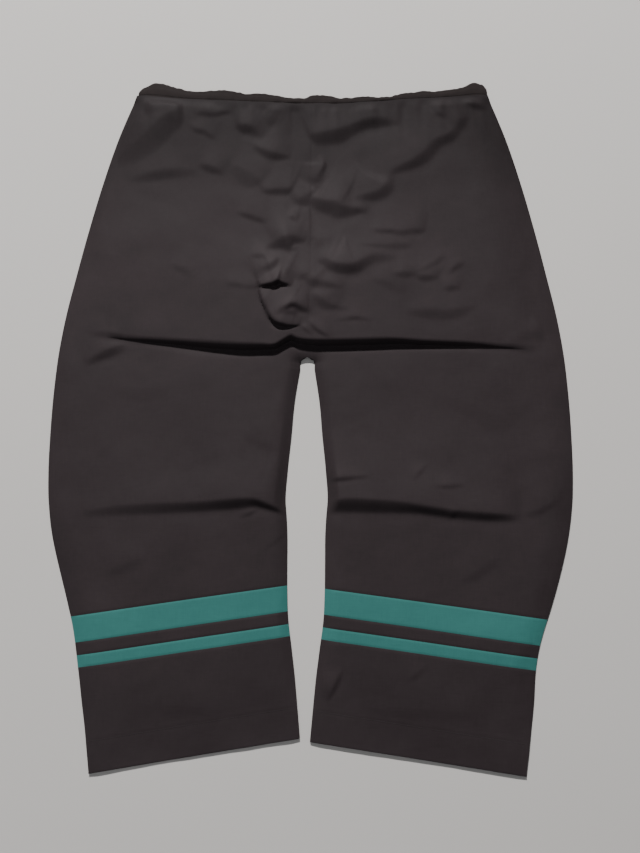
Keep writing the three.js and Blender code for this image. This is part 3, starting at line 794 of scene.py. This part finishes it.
FINE, COARSE = 2.4 * MM, 6 * MM  # spacings of a layer's points
LEG_WIDTH = 350 * MM  # at its widest
LAYERS = {
    "back": (back_layer, FINE, (0, 0, 1)),
    "front": (front_layer, COARSE, (0, 0, -1)),
}
for side_name, side in SIDES.items():
    thigh, shin = f"{side_name}_thigh", f"{side_name}_shin"
    for layer, (surface, spacing, outward) in LAYERS.items():
        outward = np.array(outward)
        node = f"{side_name}_{layer}_"
        columns = round(LEG_WIDTH / spacing)
        creases = [88 * MM, 100 * MM] if layer == "back" else []  # both edges of the great crease
        rows = crowded(THIGH_JOIN, BAND_END, spacing, creases)
        upper, x, y = panel(node + "upper_cloth", side, join_row, tucked_row, rows, columns,
                            surface, outward, BLACK)
        bend_at_hip(upper)
        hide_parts(node + "seat", node + "thigh")
        declare(x, y)
        creases = [KNEE_FOLD] if layer == "back" else []
        rows = crowded(STRIPE_TOP_OUTER, THIGH_JOIN, spacing, creases)
        lower, x, y = panel(node + "lower_cloth", side, stripe_row(0), join_row, rows, columns,
                            surface, outward, BLACK)
        bend_at_knee(lower)
        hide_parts(node + "knee")
        declare(x, y)
        for i, (part, material, slot) in enumerate([
            ("wide_stripe", TEAL, "teal_cloth"),
            ("spacer", BLACK, "black_cloth"),
            ("narrow_stripe", TEAL, "teal_cloth"),
        ]):
            low, high = stripe_row(STRIPE_SEAMS[i + 1]), stripe_row(STRIPE_SEAMS[i] + 0.2 * MM)
            steps = spaced(STRIPE_SEAMS[i + 1] - STRIPE_SEAMS[i], min(spacing, 3 * MM) / 2)
            stripe, x, y = panel(f"{node}{part}_cloth", side, low, high, steps, columns,
                                 surface, outward, material)
            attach(stripe, shin)
            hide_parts(node + part)
            declare(x, y)
        points, flat, x, y = turned_hem(surface, side, columns, min(spacing, 3 * MM), outward)
        cuff = shell(f"{node}cuff_cloth", points, flat, outward, BLACK)
        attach(cuff, shin)
        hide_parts(node + "cuff", node + "hem")
        declare(x, y, HEM_DEPTH)


# ---- Waistband and its elastic ----
WAIST_COLUMNS, TURN_STEPS = 241, 8  # points along each side of the waist, steps round each end
ROLL_FOOT = 0.86  # share of the casing's height at which it starts to roll over
ELASTIC_SIDES = 24


def waist_loop(rise, out, ruffle=0.0):
    """A ring round the flattened waist. A section of points, each a rise from the band's foot (0)
    to its top (1) and a distance out, goes along the front, round the right side, back along the
    back and round the left side. Ruffles bulge and dent it and fray its upper edge."""
    run = np.linspace(-1, 1, WAIST_COLUMNS)
    turns = np.linspace(-math.pi / 2, math.pi / 2, TURN_STEPS + 1)[1:-1]
    across = np.concatenate([run, 0 * turns + 1, run[::-1], 0 * turns - 1])
    turn = np.concatenate([0 * run - math.pi / 2, turns, 0 * run + math.pi / 2, turns + math.pi])
    rise, out = rise[:, None], out[:, None]
    width = side_half(mix(BAND_END, WAIST_TIP, rise)) - 8 * MM * rise**3
    place = across * width + (turn > math.pi / 4) * 0.4
    puff = 0.5 * pleats(place, 5 * MM, 41) + 0.5 * pleats(place, 12 * MM, 42)
    out = out * (1 + ruffle * 0.22 * puff)
    out = out + ruffle * 0.35 * MM * puff * np.sin(math.pi * rise)
    radius = band_radius(across)
    x = across * (width - WAIST_END - BAND_HALF) + np.cos(turn) * (radius + out)
    z = np.maximum(BAND_HALF + radius + np.sin(turn) * (radius + out), FLOOR_CLEARANCE)
    frayed = 0.6 * pleats(place, 4 * MM, 43) + 0.7 * pleats(place, 10 * MM, 44)
    y = mix(band_foot(x), band_top(x), rise) + ruffle * frayed * MM * ease(rise, 0.4, 1)
    outward = np.stack([np.cos(turn), 0 * turn, np.sin(turn)], -1)
    flat = np.stack(np.broadcast_arrays(place, rise * BAND_HEIGHT), -1)
    return np.stack([*settled(x, y), z], -1), flat, outward


def casing_section():
    """The folded casing: up its outer side from the sewn edge, over the top, and down inside."""
    climb = np.linspace(0, ROLL_FOOT, 10)[:-1]
    roll = np.linspace(0, math.pi, 9)
    over = ROLL_FOOT + (1 - ROLL_FOOT) * np.sin(roll)
    rise = np.concatenate([climb, over, climb[::-1]])
    bulge = (0.6 + 0.8 * np.sin(math.pi * climb / 1.1)) * MM
    out = np.concatenate([bulge, np.cos(roll) * 1.4 * MM, -bulge[::-1]])
    return rise, out


points, flat, outward = waist_loop(*casing_section(), ruffle=1.0)
band = shell("waist_casing", points, flat, outward, BAND, wrap=True)
normals = grid_normals(points, True)
casing_line = points[2], normals[2] * np.sign((normals[0] * outward).sum(-1).mean())
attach(band, "seat")
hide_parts("waistband")
4 * side_half(BAND_END)

angle = np.linspace(0, 2 * math.pi, ELASTIC_SIDES + 1)[:-1]
points, flat, outward = waist_loop(
    0.47 + 0.33 * np.sign(np.cos(angle)) * np.abs(np.cos(angle)) ** 0.4,
    0.5 * MM * np.sin(angle),
)
faces = grid_faces(ELASTIC_SIDES + 1, points.shape[1], True) % (ELASTIC_SIDES * points.shape[1])
elastic = make_mesh("waist_elastic_loop", points, faces[:, ::-1], flat, ELASTIC)
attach(elastic, "seat")
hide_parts("waist_elastic")


# ---- Stitching ----
STITCH_PITCH = 3.2 * MM
STITCH_LENGTH = 2.5 * MM
STITCH_RADIUS = 0.28 * MM
STITCH_SIDES = 6


def stitched(name, body, points, normals):
    """A row of stitches along a line of points with their normals. Each stitch is a fat little
    lens: its half width at a share t along it goes as the square root of 1 - (2t - 1)^2, and its
    middle lies about a third of its half width above the cloth."""
    steps = np.linalg.norm(np.diff(points, axis=0), axis=1)
    run = np.concatenate([[0], np.cumsum(steps)])
    places = np.arange(STITCH_PITCH, run[-1] - STITCH_PITCH / 2, STITCH_PITCH)

    def read(values):
        return np.stack([np.interp(places, run, column) for column in values.T], -1)[:, None, None]

    seats, up, along = read(points), read(normals), read(np.gradient(points, run, axis=0))
    up /= np.linalg.norm(up, axis=-1, keepdims=True)
    along /= np.linalg.norm(along, axis=-1, keepdims=True)
    across = np.cross(along, up)
    t = np.array([0.12, 0.5, 0.88])[:, None, None]
    around = np.arange(STITCH_SIDES)
    angle = (around * 2 * math.pi / STITCH_SIDES)[None, :, None]
    width = STITCH_RADIUS * np.sqrt(1 - (2 * t - 1) ** 2)
    middle = seats + up * STITCH_RADIUS * 0.35
    rings = middle + along * STITCH_LENGTH * (t - 0.5)
    rings = rings + width * (np.cos(angle) * across + np.sin(angle) * up)
    ends = [middle[:, 0] + along[:, 0] * STITCH_LENGTH * end for end in (-0.5, 0.5)]
    count, poles = len(seats), 3 * STITCH_SIDES
    points = np.concatenate([rings.reshape(count, poles, 3), *ends], 1)
    first = (poles + 2) * np.arange(count)[:, None, None]
    a, n = around, (around + 1) % STITCH_SIDES
    sides = [np.stack([r + a, r + STITCH_SIDES + a, r + STITCH_SIDES + n, r + n], -1)
             for r in (0, STITCH_SIDES)]
    last = 2 * STITCH_SIDES
    caps = [np.stack([0 * a + poles, a, n], -1), np.stack([0 * a + poles + 1, last + n, last + a], -1)]
    faces = (np.concatenate(sides) + first).reshape(-1, 4).tolist()
    faces += (np.concatenate(caps) + first).reshape(-1, 3).tolist()
    stitches = make_mesh(name, points, faces, points[..., :2], THREAD)
    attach(stitches, body)


def sewn_across(surface, side, row, outward):
    """A line across one leg on the outer side of a layer, and the layer's normals along it."""
    x, y = cloth_grid(side, lambda s: row(s) - MM, lambda s: row(s) + MM, 160, [0, 0.5, 1])
    x, y = x[:, 2:-2], y[:, 2:-2]
    outer = surface(x, y)
    normals = grid_normals(outer, False)
    return outer[1], normals[1] * np.sign((normals * outward).sum(-1).mean())


def hem_stitch_row(across):
    """The row that holds the turned-up hem."""
    return hem_row(across) + HEM_DEPTH - HEM_STITCH_DROP


for side_name, side in SIDES.items():
    for layer, (surface, _, outward) in LAYERS.items():
        line = sewn_across(surface, side, hem_stitch_row, np.array(outward))
        stitched(f"{side_name}_{layer}_hem_stitches", f"{side_name}_shin", *line)
stitched("waist_stitches", "seat", *casing_line)


# ---- Seam allowances between the layers ----
ALLOWANCE = {"side_seam": (side_half, -1), "inseam": (gap_half, 1)}


def allowance(name, side, kind, low, high):
    """A narrow strip inside a seam, from one y to another, lying on the front layer."""
    edge, inward = ALLOWANCE[kind]
    y = np.repeat(np.linspace(low, high, max(2, round((high - low) / (5 * MM))))[:, None], 5, 1)
    away = np.linspace(1.5 * MM, 11.5 * MM, 5)[None, :]
    x = side * (edge(y) + inward * away)
    height = 2.1 * MM + 0.12 * MM * bumps(x, y, 6 * MM, 51)
    flat = np.stack([x, y], -1)
    points = np.stack([*settled(x, y), height], -1)
    strip = shell(name, points, flat, np.array((0, 0, 1)), THREAD, 0.5 * MM)
    return strip


for side_name, side in SIDES.items():
    thigh, shin = f"{side_name}_thigh", f"{side_name}_shin"
    tops = {"side_seam": BAND_END - 4 * MM, "inseam": HIP_FOLD - 12 * MM}
    bottoms = {"side_seam": HEM_OUTER + HEM_DEPTH, "inseam": HEM_INNER + HEM_DEPTH}
    for kind in ALLOWANCE:
        upper = allowance(f"{side_name}_{kind}_upper", side, kind, THIGH_JOIN, tops[kind])
        lower = allowance(f"{side_name}_{kind}_lower", side, kind, bottoms[kind], THIGH_JOIN)
        bend_at_hip(upper)
        bend_at_knee(lower)
        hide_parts(f"{side_name}_{kind}_thigh")
        if kind == "side_seam":
            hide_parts(f"{side_name}_side_seam_hip")
        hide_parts(f"{side_name}_{kind}_shin")


# ---- The centre seams ----
def centre_strip(name, low, surface, offset, outward):
    """A pressed-open seam allowance along the centre, just inside a layer."""
    y = np.linspace(low, float(band_foot(0.0)) - 2 * MM, 90)[:, None]
    x = np.linspace(-6 * MM, 6 * MM, 7)[None, :]
    x, y = np.broadcast_arrays(x, y)
    points = surface(x, y)
    points[..., 2] += offset
    flat = np.stack([x, y], -1)
    strip = shell(name, points, flat, np.array(outward), THREAD, 0.5 * MM)
    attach(strip, "seat")
    return strip


strip = centre_strip("centre_back_allowance", CROTCH + 50 * MM, back_layer, -1.6 * MM, (0, 0, 1))
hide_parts("centre_back_seam")
strip = centre_strip("centre_front_allowance", CROTCH + 10 * MM, front_layer, 1.2 * MM, (0, 0, -1))
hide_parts("centre_front_seam")


# ---- Stage, light and camera ----
def plain(name, colour, roughness):
    """A plain matt finish with the faintest mottling."""
    shader = Shader(name)
    solid = shader.node("ShaderNodeTexCoord", {}, {}, "Object")
    cloudy = shader.node("ShaderNodeTexNoise", {}, {"Vector": solid, "Scale": 3.0}, "Fac")
    pale = {"Factor": cloudy, 6: (*colour, 1), 7: (*(c * 1.04 for c in colour), 1)}
    tone = shader.node("ShaderNodeMix", {"data_type": "RGBA"}, pale, 2)
    shader.fill(shader.surface, {"Base Color": tone, "Roughness": roughness})
    return shader.material


FAR = 6.0  # half the floor's side
corners = np.array([[[-FAR, -FAR, 0], [FAR, -FAR, 0]], [[-FAR, FAR, 0], [FAR, FAR, 0]]])
floor = make_mesh("floor", corners, grid_faces(2, 2, False), corners[..., :2],
                  plain("pale_floor", (0.50, 0.485, 0.47), 0.9))
floor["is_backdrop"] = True


def lamp_at(name, kind, place, power, colour):
    """A lamp at a place, turned towards the origin."""
    lamp = bpy.data.lights.new(name, kind)
    lamp.energy, lamp.color = power, colour
    obj = bpy.data.objects.new(name, lamp)
    obj.location = place
    obj.rotation_mode = "QUATERNION"
    obj.rotation_quaternion = (-Vector(place)).to_track_quat("-Z", "Y")
    bpy.context.scene.collection.objects.link(obj)
    return lamp


key = lamp_at("key", "POINT", (-0.7, 4.1, 3.0), 2000, (1.0, 0.985, 0.97))
key.shadow_soft_size = 0.2
fill = lamp_at("fill", "AREA", (-0.8, -0.6, 2.2), 9, (0.96, 0.98, 1.0))
fill.shape, fill.size = "DISK", 1.8
world = bpy.data.worlds.new("studio")
world.use_nodes = True
world.node_tree.nodes["Background"].inputs["Color"].default_value = (0.95, 0.97, 1.0, 1)
world.node_tree.nodes["Background"].inputs["Strength"].default_value = 0.16
bpy.context.scene.world = world

VIEW_TARGET = Vector((14 * MM, -23 * MM, 0))
VIEW_TILT = math.radians(8)  # from straight down, towards the waist
VIEW_DISTANCE = 1.3
camera = bpy.data.cameras.new("camera")
camera.sensor_width, camera.lens = 36, 38.4
camera_object = bpy.data.objects.new("camera", camera)
camera_object.rotation_mode = "QUATERNION"
away = Vector((0, -math.sin(VIEW_TILT), math.cos(VIEW_TILT)))
camera_object.location = VIEW_TARGET + VIEW_DISTANCE * away
roll = Quaternion((0, 0, 1), math.radians(0.25))
camera_object.rotation_quaternion = (-away).to_track_quat("-Z", "Y") @ roll
bpy.context.scene.collection.objects.link(camera_object)
bpy.context.scene.camera = camera_object

low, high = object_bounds()
